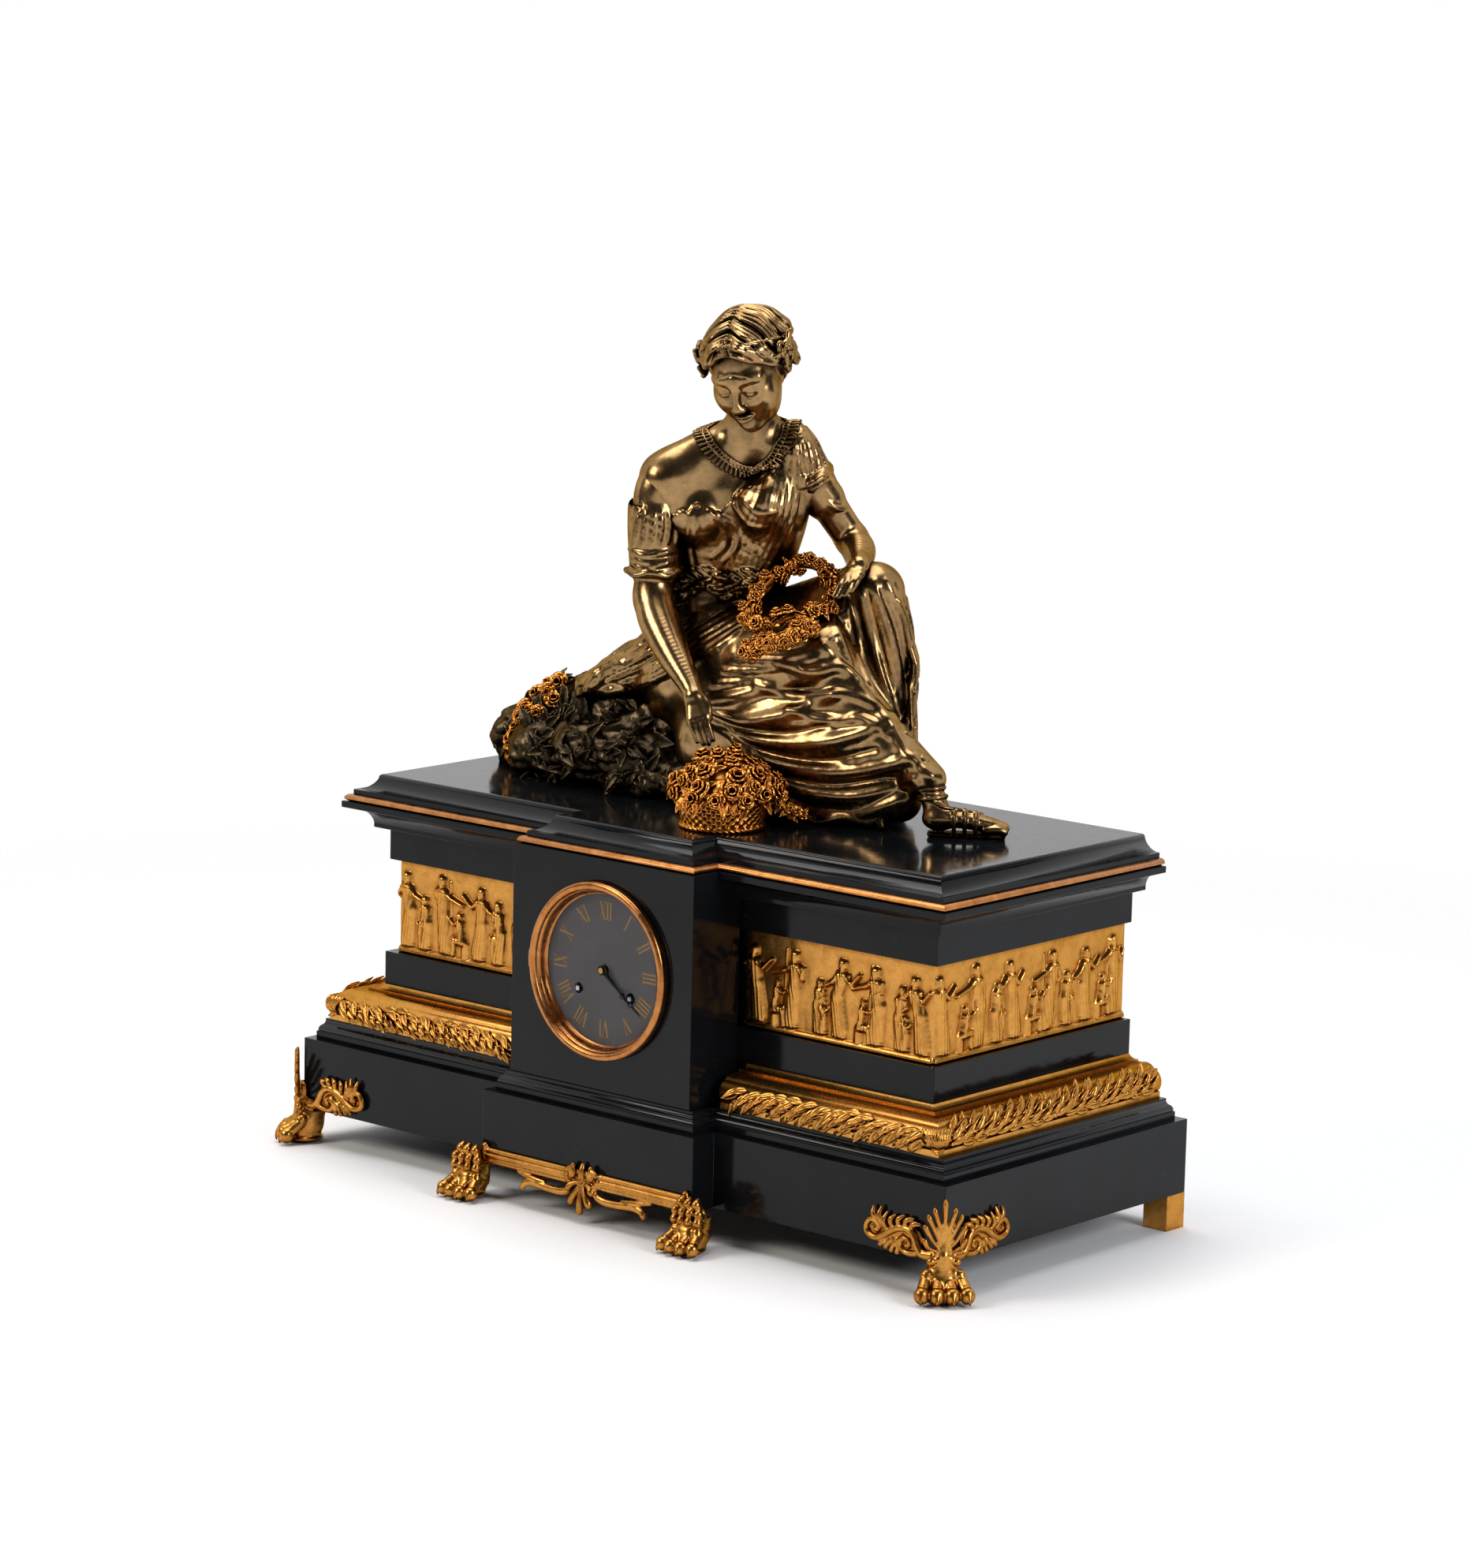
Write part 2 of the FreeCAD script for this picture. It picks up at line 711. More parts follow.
def make_bezel():
    frame = turned([(frame_bore_radius, block_face), (frame_bore_radius, frame_face),
                    (frame_radius, frame_face), (frame_radius, block_face)])
    pitch = knuckle_length + body_gap
    for step in (-1, 1):
        middle = dial_height + step * pitch
        barrel, pin_room = knuckle(bezel_hinge_x, bezel_hinge_y, middle, knuckle_length)
        leaf = hinge_leaf(bezel_hinge_x, bezel_hinge_y, -frame_radius + frame_thickness,
                          frame_face, block_face, middle, knuckle_length)
        neck = hinge_leaf(bezel_hinge_x - knuckle_radius / 2, bezel_hinge_y,
                          bezel_hinge_x + knuckle_radius / 2, bezel_hinge_y, block_face,
                          middle, knuckle_length)
        frame = joined(frame, barrel, leaf, neck).cut(pin_room)
    save("bezel_frame", frame)

    glass_seat = bezel_back - bezel_depth + bezel_flat
    sight_back = dial_face - 2 * body_gap
    profile = [(bezel_radius, bezel_back), (bezel_radius, bezel_back - bezel_flat),
               (bezel_radius - bezel_flat, bezel_front), (bezel_opening_radius, bezel_front),
               (bezel_opening_radius, glass_seat + glass_thickness),
               (bezel_opening_radius - sight_wall, glass_seat + glass_thickness),
               (sight_radius, sight_back), (sight_radius + sight_wall, sight_back),
               (bezel_opening_radius + sight_wall / 2, bezel_back)]
    rim = turned(profile)
    room = pitch * 1.5 + body_gap
    notch = box(-bezel_radius - knuckle_radius * 2, -bezel_radius + knuckle_radius + 2 * body_gap,
                bezel_hinge_y - knuckle_radius - body_gap, block_face, dial_height - room,
                dial_height + room)
    barrel, pin_room = knuckle(bezel_hinge_x, bezel_hinge_y, dial_height, knuckle_length)
    leaf = hinge_leaf(bezel_hinge_x, bezel_hinge_y, -bezel_radius + 2 * knuckle_radius,
                      bezel_hinge_y - knuckle_radius, bezel_hinge_y, dial_height, knuckle_length)
    save("bezel", joined(rim.cut(notch), barrel, leaf).cut(pin_room))
    save("bezel_glass", bar(centre_spot, bezel_opening_radius - body_gap, glass_seat,
                            glass_seat + glass_thickness, large_ring_sides))


def make_dial():
    dial = bar(centre_spot, dial_radius, dial_face, dial_back, large_ring_sides)
    holes = [bore(centre_spot, cannon_radius + hour_pipe_wall + body_gap * 2, dial_face, dial_back,
                  drum_sides)]
    for centre in (going_spot, strike_spot):
        holes.append(bore(centre, winding_hole_radius, dial_face, dial_back, drum_sides))
    save("dial", dial.cut(holes))


# a hand with a ring near its tip, a hub bored for its pipe, and its angle from twelve
def hand(length, angle, low_y, pipe_radius):
    root = hand_root_width / 2
    tip = hand_tip_width / 2
    tail = hub_radius
    points = [Vector(-root, low_y, -tail), Vector(root, low_y, -tail), Vector(tip, low_y, length * 0.9),
              Vector(0, low_y, length), Vector(-tip, low_y, length * 0.9)]
    blade = plate(points, BACKWARD * hand_thickness)
    eye_height = length * hand_eye_share
    eye = bar((0, eye_height), hand_eye_radius, low_y, low_y + hand_thickness)
    hub = bar((0, 0), hub_radius, low_y, low_y + hand_thickness, drum_sides)
    shape = joined(blade, eye, hub)
    shape = shape.cut(bore((0, eye_height), hand_eye_radius * hand_eye_hole_share, low_y, low_y))
    shape.rotate(Vector(0, 0, 0), BACKWARD, angle)
    shape.translate(UP * dial_height)
    return shape.cut(bar(centre_spot, pipe_radius, low_y - overrun, low_y + overrun, drum_sides))


hour_hand_y = dial_face - hand_gap - hand_thickness
minute_hand_y = hour_hand_y - hand_gap - hand_thickness

# movement

plate_outer = dial_back + dial_post_length
front_inner = plate_outer + plate_thickness
back_inner = front_inner + plate_spacing
back_outer = back_inner + plate_thickness


def spot(x, z):
    return (x, dial_height + z)


def distance(a, b):
    return math.hypot(a[0] - b[0], a[1] - b[1])


def polar(origin, radius, degrees):
    angle = math.radians(degrees)
    return (origin[0] + radius * math.cos(angle), origin[1] + radius * math.sin(angle))


# the point at one distance from a first centre and another from a second, on one side
def crossing(a, from_a, b, from_b, side):
    span = distance(a, b)
    along = (from_a ** 2 - from_b ** 2 + span ** 2) / (2 * span)
    off = side * math.sqrt(max(from_a ** 2 - along ** 2, 0))
    ux = (b[0] - a[0]) / span
    uz = (b[1] - a[1]) / span
    return (a[0] + ux * along - uz * off, a[1] + uz * along + ux * off)


def centre_distance(teeth_a, teeth_b, module):
    return (teeth_a + teeth_b) * module / 2


# the turn that sets a gear's teeth in the gaps of the gear that drives it
def mesh_phase(a, phase_a, teeth_a, b, teeth_b):
    toward = math.atan2(b[1] - a[1], b[0] - a[0])
    share = (phase_a - toward) * teeth_a / (2 * math.pi)
    return toward + math.pi - (share + 0.5) * 2 * math.pi / teeth_b


def gear(centre, teeth, module, phase, low_y, thickness):
    pitch_radius = teeth * module / 2
    tip = pitch_radius + module * tooth_addendum_share
    root = pitch_radius - module * tooth_dedendum_share
    half = math.pi / teeth
    points = []
    for number in range(teeth):
        angle = phase + 2 * math.pi * number / teeth
        for radius, turn in ((root, -half), (tip, 0)):
            points.append(Vector(centre[0] + radius * math.cos(angle + turn), low_y,
                                 centre[1] + radius * math.sin(angle + turn)))
    return plate(points, BACKWARD * thickness)


def circle_points(centre, radius, y, sides):
    points = []
    for number in range(sides):
        angle = 2 * math.pi * (number + 0.5) / sides
        points.append(Vector(centre[0] + radius * math.cos(angle), y, centre[1] + radius * math.sin(angle)))
    return points


# round bars and bores have few flat sides each, so that the many pieces of the movement stay light:
# a bar's corners and a bore's flats lie at the stated radius
def bar(centre, radius, low_y, high_y, sides=round_bar_sides):
    return plate(circle_points(centre, radius, low_y, sides), BACKWARD * (high_y - low_y))


def bore(centre, radius, low_y, high_y, sides=round_bar_sides):
    return bar(centre, radius / math.cos(math.pi / sides), low_y - overrun, high_y + overrun, sides)


def arbor(centre):
    body = bar(centre, arbor_radius, front_inner + end_shake, back_inner - end_shake)
    pivots = bar(centre, pivot_radius, front_inner - plate_thickness + end_shake,
                 back_inner + plate_thickness - end_shake)
    return joined(body, pivots)


centre_spot = spot(0, 0)
going_spot = spot(winding_side, -winding_drop)
strike_spot = spot(-winding_side, -winding_drop)
second_spot = crossing(going_spot, centre_distance(barrel_teeth, second_pinion_teeth, barrel_module),
                       centre_spot, centre_distance(second_wheel_teeth, centre_pinion_teeth, second_module), -1)
third_spot = polar(centre_spot, centre_distance(centre_wheel_teeth, third_pinion_teeth, centre_module),
                   third_angle)
escape_distance = centre_distance(third_wheel_teeth, escape_pinion_teeth, third_module)
escape_rise = math.sqrt(escape_distance ** 2 - (third_spot[0] - escape_side) ** 2)
escape_spot = (escape_side, third_spot[1] + escape_rise)
pallet_spot = (escape_side, escape_spot[1] + pallet_rise)
minute_spot = polar(centre_spot, centre_distance(cannon_teeth, minute_wheel_teeth, motion_module), -90)
strike_second_spot = polar(strike_spot, centre_distance(barrel_teeth, second_pinion_teeth, barrel_module),
                           strike_second_angle)
pin_spot = polar(strike_second_spot, centre_distance(second_wheel_teeth, second_pinion_teeth, second_module),
                 pin_wheel_angle)
fly_spot = polar(pin_spot, centre_distance(pin_wheel_teeth, fly_pinion_teeth, pin_module), fly_angle)
hammer_spot = spot(-hammer_side, hammer_rise)


# the stud that carries the minute wheel on the front plate
def minute_stud():
    stud = bar(minute_spot, pivot_radius, pinion_low - end_shake, front_inner)
    shoulder = bar(minute_spot, arbor_radius, motion_level + wheel_thickness + end_shake, front_inner)
    return joined(stud, shoulder)


# the bracket behind the back plate that the pendulum hangs from
def suspension_cock():
    x, z = pallet_spot
    half = suspension_width / 2
    foot_low = z + half
    y = back_outer + suspension_offset
    foot = box(x - half, x + half, back_outer, back_outer + wheel_thickness, foot_low, z + cock_width)
    arm = box(x - half, x + half, back_outer, y + half, foot_low, foot_low + wheel_thickness)
    return joined(foot, arm)


def make_plates():
    middle = [second_spot, third_spot, escape_spot, pin_spot, fly_spot]
    outer = bar(centre_spot, plate_radius, plate_outer, front_inner, large_ring_sides)
    inner = bar(centre_spot, plate_radius, back_inner, back_outer, large_ring_sides)
    hole = pivot_radius + running_gap
    through = arbor_radius + running_gap
    winding = winding_arbor_radius + running_gap
    front_holes = [(place, hole) for place in middle + [pallet_spot, hammer_spot, strike_second_spot]]
    front_holes += [(centre_spot, centre_pivot_radius + running_gap), (going_spot, winding),
                    (strike_spot, winding)]
    back_holes = [(place, hole) for place in middle + [centre_spot, going_spot, strike_spot]]
    back_holes += [(place, through) for place in (pallet_spot, hammer_spot, strike_second_spot)]
    outer = outer.cut([bore(place, radius, plate_outer, front_inner) for place, radius in front_holes])
    inner = inner.cut([bore(place, radius, back_inner, back_outer) for place, radius in back_holes])
    save("front_plate", joined(outer, minute_stud()))
    save("back_plate", joined(inner, suspension_cock()))


def make_pillars():
    pillars = []
    for degrees in pillar_degrees:
        centre = polar(centre_spot, pillar_reach, degrees)
        pillars.append(bar(centre, pillar_radius, front_inner, back_inner))
    posts = []
    for degrees in dial_post_degrees:
        centre = polar(centre_spot, pillar_reach, degrees)
        posts.append(bar(centre, dial_post_radius, dial_back, plate_outer))
    save("pillars", *pillars, *posts)


def make_barrel(node, centre, phase):
    low = front_inner + barrel_level
    drum = bar(centre, barrel_drum_radius, low, low + barrel_drum_length, drum_sides)
    ring_gear = gear(centre, barrel_teeth, barrel_module, phase, low, barrel_ring_thickness)
    hole = bore(centre, winding_arbor_radius + running_gap, low, low + barrel_drum_length)
    save(node, joined(drum, ring_gear).cut(hole))


def make_winding_arbor(node, centre):
    collar = front_inner + barrel_level + barrel_drum_length + body_gap
    body = bar(centre, winding_arbor_radius, plate_outer - body_gap - wheel_thickness, collar)
    tail = bar(centre, winding_arbor_radius * collar_share, collar, back_inner - end_shake)
    pivot = bar(centre, pivot_radius, back_inner - end_shake * 2, back_inner + plate_thickness - end_shake)
    half = winding_square / 2
    square = box(centre[0] - half, centre[0] + half, dial_face - hand_gap, plate_outer - body_gap,
                 centre[1] - half, centre[1] + half)
    ratchet = gear(centre, ratchet_teeth, ratchet_module, 0, plate_outer - body_gap - wheel_thickness,
                   wheel_thickness)
    save(node, joined(body, tail, pivot, square, ratchet))


barrel_phase = 0.0
second_phase = mesh_phase(going_spot, barrel_phase, barrel_teeth, second_spot, second_pinion_teeth)
centre_phase = mesh_phase(second_spot, 0, second_wheel_teeth, centre_spot, centre_pinion_teeth)
third_phase = mesh_phase(centre_spot, 0, centre_wheel_teeth, third_spot, third_pinion_teeth)
escape_phase = mesh_phase(third_spot, 0, third_wheel_teeth, escape_spot, escape_pinion_teeth)
minute_wheel_phase = mesh_phase(centre_spot, 0, cannon_teeth, minute_spot, minute_wheel_teeth)
hour_wheel_phase = mesh_phase(minute_spot, 0, minute_pinion_teeth, centre_spot, hour_wheel_teeth)
strike_second_phase = mesh_phase(strike_spot, barrel_phase, barrel_teeth, strike_second_spot,
                                 second_pinion_teeth)
pin_phase = mesh_phase(strike_second_spot, 0, second_wheel_teeth, pin_spot, second_pinion_teeth)
fly_phase = mesh_phase(pin_spot, 0, pin_wheel_teeth, fly_spot, fly_pinion_teeth)

motion_level = plate_outer - wheel_thickness * 2
hour_level = motion_level - wheel_thickness * 1.5
pinion_low = hour_level - wheel_thickness / 2
hour_module = motion_module * (cannon_teeth + minute_wheel_teeth) / (minute_pinion_teeth + hour_wheel_teeth)


def make_going_train():
    base = front_inner
    pinion = gear(second_spot, second_pinion_teeth, barrel_module, second_phase,
                  base + barrel_level, pinion_length)
    wheel = gear(second_spot, second_wheel_teeth, second_module, 0, base + second_level, wheel_thickness)
    save("second_wheel", joined(arbor(second_spot), pinion, wheel))

    pinion = gear(centre_spot, centre_pinion_teeth, second_module, centre_phase,
                  base + second_level - wheel_thickness, pinion_length - wheel_thickness)
    wheel = gear(centre_spot, centre_wheel_teeth, centre_module, 0, base + centre_level, wheel_thickness)
    body = bar(centre_spot, arbor_radius * collar_share, base + end_shake, back_inner - end_shake)
    tail = bar(centre_spot, pivot_radius, back_inner - end_shake * 2, back_outer - end_shake)
    nose = bar(centre_spot, centre_pivot_radius, motion_level, base + wheel_thickness)
    pipe = bar(centre_spot, cannon_radius, minute_hand_y - hand_gap / 2, motion_level + wheel_thickness,
               drum_sides)
    cannon = gear(centre_spot, cannon_teeth, motion_module, 0, motion_level, wheel_thickness)
    save("centre_wheel", joined(body, tail, nose, pipe, cannon, pinion, wheel))

    pinion = gear(third_spot, third_pinion_teeth, centre_module, third_phase,
                  base + centre_level - wheel_thickness, pinion_length)
    wheel = gear(third_spot, third_wheel_teeth, third_module, 0, base + third_level, wheel_thickness)
    save("third_wheel", joined(arbor(third_spot), pinion, wheel))

    pinion = gear(escape_spot, escape_pinion_teeth, third_module, escape_phase,
                  base + third_level - wheel_thickness, pinion_length)
    rim = escape_tip_radius - escape_tooth_depth
    lean = math.pi / escape_teeth
    points = []
    for number in range(escape_teeth):
        angle = 2 * math.pi * number / escape_teeth
        for radius, turn in ((rim, -lean / 4), (escape_tip_radius, 0)):
            points.append(Vector(escape_spot[0] + radius * math.cos(angle + turn), base + escape_level,
                                 escape_spot[1] + radius * math.sin(angle + turn)))
    wheel = plate(points, BACKWARD * wheel_thickness)
    save("escape_wheel", joined(arbor(escape_spot), pinion, wheel))


# anchor with two pallets that stand just clear of the wheel's tips at the end of each swing
def make_pallets():
    low = front_inner + escape_level
    drop = pallet_rise
    dip = pallet_reach * math.sin(math.radians(pendulum_swing))
    clear = escape_tip_radius + dip + 2 * body_gap
    foot = drop - math.sqrt(clear ** 2 - pallet_reach ** 2)
    x, z = pallet_spot
    shoulder = arbor_radius * 2
    arch = [(-pallet_reach, -foot), (-pallet_reach - pallet_width, -foot), (-pallet_reach - pallet_width, 0),
            (-shoulder, shoulder), (shoulder, shoulder), (pallet_reach + pallet_width, 0),
            (pallet_reach + pallet_width, -foot), (pallet_reach, -foot), (pallet_reach, -pallet_width / 2),
            (shoulder, -shoulder / 2), (-shoulder, -shoulder / 2), (-pallet_reach, -pallet_width / 2)]
    anchor = plate([Vector(x + a, low, z + b) for a, b in arch], BACKWARD * wheel_thickness)
    crutch_y = back_outer + crutch_gap
    body = bar(pallet_spot, arbor_radius, front_inner + end_shake, crutch_y + wheel_thickness)
    pivot = bar(pallet_spot, pivot_radius, plate_outer + end_shake, front_inner + end_shake * 2)
    half = crutch_width / 2
    arm = box(x - half, x + half, crutch_y, crutch_y + wheel_thickness, z - crutch_length, z)
    gap = rod_radius + running_gap * 2
    low_z = z - crutch_length
    high_z = low_z + crutch_width
    bridge = box(x - gap - fork_wall, x + gap + fork_wall, crutch_y, crutch_y + wheel_thickness,
                 low_z, high_z)
    reach = back_outer + suspension_offset + fork_depth / 2
    left = box(x - gap - fork_wall, x - gap, crutch_y, reach, low_z, high_z)
    right = box(x + gap, x + gap + fork_wall, crutch_y, reach, low_z, high_z)
    save("pallets", joined(anchor, body, pivot, arm, bridge, left, right))


def make_motion_work():
    pinion = gear(minute_spot, minute_pinion_teeth, hour_module, 0, pinion_low, wheel_thickness * 2)
    wheel = gear(minute_spot, minute_wheel_teeth, motion_module, minute_wheel_phase, motion_level,
                 wheel_thickness)
    hole = bore(minute_spot, pivot_radius + running_gap, pinion_low, plate_outer)
    save("minute_wheel", joined(pinion, wheel).cut(hole))

    wheel = gear(centre_spot, hour_wheel_teeth, hour_module, hour_wheel_phase, hour_level, wheel_thickness)
    pipe_radius = cannon_radius + hour_pipe_wall
    pipe = bar(centre_spot, pipe_radius, hour_hand_y, hour_level + wheel_thickness, drum_sides)
    hole = bore(centre_spot, cannon_radius + running_gap, hour_hand_y, hour_level, drum_sides)
    save("hour_wheel", joined(pipe, wheel).cut(hole))
    save("hour_hand", hand(hour_hand_length, hour_hand_angle, hour_hand_y, pipe_radius))
    save("minute_hand", hand(minute_hand_length, minute_hand_angle, minute_hand_y, cannon_radius))


def make_strike_train():
    base = front_inner
    pinion = gear(strike_second_spot, second_pinion_teeth, barrel_module, strike_second_phase,
                  base + barrel_level, pinion_length)
    wheel = gear(strike_second_spot, second_wheel_teeth, second_module, 0, base + second_level,
                 wheel_thickness)
    count_y = back_outer + body_gap * 2
    long_arbor = bar(strike_second_spot, arbor_radius, base + end_shake, count_y + wheel_thickness)
    pivot = bar(strike_second_spot, pivot_radius, plate_outer + end_shake, base + end_shake * 2)
    count = bar(strike_second_spot, count_wheel_radius, count_y, count_y + wheel_thickness, drum_sides)
    turn = 0
    for blow in range(1, 13):
        turn += blow + 1
        centre = polar(strike_second_spot, count_wheel_radius, turn * 360 / blows_in_twelve_hours)
        half = count_notch / 2
        count = count.cut(box(centre[0] - half, centre[0] + half, count_y - overrun, count_y + overrun,
                              centre[1] - half, centre[1] + half))
    save("strike_second_wheel", joined(pinion, wheel, long_arbor, pivot, count))

    pinion = gear(pin_spot, second_pinion_teeth, second_module, pin_phase,
                  base + second_level - wheel_thickness, pinion_length)
    wheel = gear(pin_spot, pin_wheel_teeth, pin_module, 0, base + pin_level, wheel_thickness)
    pins = []
    for number in range(pin_count):
        centre = polar(pin_spot, pin_wheel_teeth * pin_module / 2 * pin_circle_share,
                       360 * number / pin_count)
        pins.append(bar(centre, pin_radius, base + pin_level,
                        base + pin_level + wheel_thickness + pin_length, pin_sides))
    save("pin_wheel", joined(arbor(pin_spot), pinion, wheel, *pins))

    pinion = gear(fly_spot, fly_pinion_teeth, pin_module, fly_phase, base + pin_level - wheel_thickness,
                  pinion_length)
    half = fly_span / 2
    blade = box(fly_spot[0] - half, fly_spot[0] + half, base + fly_level, base + fly_level + fly_blade,
                fly_spot[1] - wheel_thickness / 2, fly_spot[1] + wheel_thickness / 2)
    save("fly", joined(arbor(fly_spot), pinion, blade))


bell_y = back_outer + bell_gap
bell_shares = [(1, 0), (0.96, 0.4), (0.8, 0.75), (0.5, 0.95), (0.25, 1)]


def make_hammer_and_bell():
    bell_spot = spot(bell_side, bell_rise)
    away = math.atan2(hammer_spot[1] - bell_spot[1] - bell_radius / 2, hammer_spot[0] - bell_spot[0])
    gap = bell_radius + hammer_head_radius + body_gap * 2
    head_spot = (bell_spot[0] + gap * math.cos(away), bell_spot[1] + gap * math.sin(away))
    arm_y = bell_y - wheel_thickness
    body = bar(hammer_spot, arbor_radius, front_inner + end_shake, arm_y + wheel_thickness)
    pivot = bar(hammer_spot, pivot_radius, plate_outer + end_shake, front_inner + end_shake * 2)
    head = bar(head_spot, hammer_head_radius, arm_y, arm_y + hammer_head_length)
    along = Vector(head_spot[0] - hammer_spot[0], 0, head_spot[1] - hammer_spot[1]).normalize()
    side = along.cross(BACKWARD) * (hammer_arm_width / 2)
    start = Vector(hammer_spot[0], arm_y, hammer_spot[1])
    end = Vector(head_spot[0], arm_y, head_spot[1])
    arm = plate([start + side, end + side, end - side, start - side], BACKWARD * wheel_thickness)
    tail_along = Vector(pin_spot[0] - hammer_spot[0], 0, pin_spot[1] - hammer_spot[1]).normalize()
    tail_side = tail_along.cross(BACKWARD) * (hammer_arm_width / 2)
    tail_start = Vector(hammer_spot[0], front_inner + hammer_level, hammer_spot[1])
    tail_end = tail_start + tail_along * hammer_tail_length
    tail = plate([tail_start + tail_side, tail_end + tail_side, tail_end - tail_side,
                  tail_start - tail_side], BACKWARD * wheel_thickness)
    save("hammer", joined(body, pivot, head, arm, tail))

    wall = bell_wall
    outer = [(bell_radius * a, bell_y + bell_depth * b) for a, b in bell_shares]
    inner = [((bell_radius - wall) * a, bell_y + (bell_depth - wall) * b) for a, b in bell_shares]
    mouth = bell_post_radius + running_gap * 4
    rim = [(mouth, bell_y + bell_depth), (mouth, bell_y + bell_depth - wall)]
    save("bell", turned(outer + rim + inner[::-1], bell_spot[0], bell_spot[1], drum_sides * 2))
    post = bar(bell_spot, bell_post_radius, back_outer, bell_y + bell_depth + nut_length)
    seat = bar(bell_spot, bell_post_radius * bell_seat_share, bell_y + bell_depth - wall - nut_length,
               bell_y + bell_depth - wall)
    nut = bar(bell_spot, bell_post_radius * bell_seat_share, bell_y + bell_depth, bell_y + bell_depth + nut_length)
    save("bell_stand", joined(post, seat, nut))


def upright(place, radius, low_z, high_z, sides=round_bar_sides):
    points = []
    for number in range(sides):
        angle = 2 * math.pi * number / sides
        points.append(Vector(place[0] + radius * math.cos(angle), place[1] + radius * math.sin(angle),
                             low_z))
    return plate(points, UP * (high_z - low_z))


def make_pendulum():
    x, z = pallet_spot
    y = back_outer + suspension_offset
    half = suspension_width / 2
    strip = box(x - half / 2, x + half / 2, y - hand_thickness / 2, y + hand_thickness / 2,
                z - suspension_length, z + half - body_gap)
    shaft_low = z - pendulum_length - bob_radius - nut_length
    shaft_top = z - suspension_length + rod_radius
    shaft = upright((x, y), rod_radius, shaft_low, shaft_top)
    rim = bob_depth * bob_rim_share / 2
    bob_spot = (x, z - pendulum_length)
    slices = []
    for radius, depth in ((bob_radius / 2, -bob_depth / 2), (bob_radius, -rim), (bob_radius, rim),
                          (bob_radius / 2, bob_depth / 2)):
        slices.append(circle_points(bob_spot, radius, y + depth, drum_sides * 2))
    bob = faceted(slices)
    nut = upright((x, y), nut_radius, shaft_low, shaft_low + nut_length)
    save("pendulum", joined(strip, shaft, bob, nut))


# rear ring, door, long straps that hold the movement, and their screws

back_face = half_depth
back_frame_face = back_face + back_frame_thickness
door_back = back_frame_face + body_gap
door_face = door_back + door_thickness
door_hinge_x = -back_frame_radius - running_gap
door_hinge_y = back_frame_face + knuckle_radius


def make_back():
    frame = turned([(strap_offset - strap_tab, back_face), (strap_offset - strap_tab, back_frame_face),
                    (back_frame_radius, back_frame_face), (back_frame_radius, back_face)])
    pitch = knuckle_length + body_gap
    for step in (-1, 1):
        middle = dial_height + step * pitch
        barrel, pin_room = knuckle(door_hinge_x, door_hinge_y, middle, knuckle_length)
        leaf = hinge_leaf(door_hinge_x, door_hinge_y, -back_frame_radius + back_frame_thickness,
                          back_face, back_frame_face, middle, knuckle_length)
        neck = hinge_leaf(door_hinge_x - knuckle_radius / 2, door_hinge_y, door_hinge_x + knuckle_radius / 2,
                          back_face, door_hinge_y, middle, knuckle_length)
        frame = joined(frame, barrel, leaf, neck).cut(pin_room)
    tab_centre = strap_offset - strap_tab / 2
    screws = []
    for side in (-1, 1):
        hole = bore((side * tab_centre, dial_height), strap_screw_radius + strap_screw_fit, back_face,
                    back_frame_face)
        frame = frame.cut(hole)
    save("back_frame", frame)

    door = bar(centre_spot, door_radius, door_back, door_face, large_ring_sides)
    for side in (-1, 1):
        room = bore((side * tab_centre, dial_height), strap_screw_head + body_gap, door_back,
                    door_face - door_thickness / 3 - overrun)
        door = door.cut(room)
    barrel, pin_room = knuckle(door_hinge_x, door_hinge_y, dial_height, knuckle_length)
    leaf = hinge_leaf(door_hinge_x, door_hinge_y, -door_radius + door_thickness, door_back,
                      door_face, dial_height, knuckle_length)
    knob = bar((door_radius - door_knob_inset, dial_height), door_knob_radius, door_face,
               door_face + door_knob_length)
    save("back_door", joined(door, barrel, leaf, knob).cut(pin_room))

    straps = []
    for side in (-1, 1):
        near = side * strap_offset
        far = side * (strap_offset + strap_thickness)
        low = dial_height - strap_width / 2
        high = dial_height + strap_width / 2
        long_bar = box(min(near, far), max(near, far), front_inner, back_face, low, high)
        tab = box(min(near, near - side * strap_tab), max(near, near - side * strap_tab),
                  back_face - strap_thickness, back_face, low, high)
        ear = box(min(near, side * (plate_radius - plate_thickness)),
                  max(near, side * (plate_radius - plate_thickness)), front_inner,
                  front_inner + strap_thickness, low, high)
        hole = bore((side * tab_centre, dial_height), strap_screw_radius + strap_screw_fit,
                    back_face - strap_thickness, back_face)
        straps.append(joined(long_bar, tab, ear).cut(hole))
        shank = bar((side * tab_centre, dial_height), strap_screw_radius, back_face - strap_thickness * 2,
                    back_frame_face)
        head = bar((side * tab_centre, dial_height), strap_screw_head, back_frame_face,
                   back_frame_face + door_thickness / 3, 12)
        screws.append(joined(shank, head))
    save("straps", *straps)
    save("strap_screws", *screws)


def make_hinge_pins():
    reach = knuckle_length * 1.5 + body_gap
    low_z = dial_height - reach
    high_z = dial_height + reach
    front = upright((bezel_hinge_x, bezel_hinge_y), hinge_pin_radius, low_z, high_z)
    back = upright((door_hinge_x, door_hinge_y), hinge_pin_radius, low_z, high_z)
    save("hinge_pins", front, back)


# bronze figure, rock, basket and garlands, with places in shares of the figure's height from the
# middle of the top slab and limb rows that also give half width and half height

def cast_point(x_share, y_share, z_share):
    return Vector(figure_height * x_share, figure_height * y_share, slab_top + figure_height * z_share)


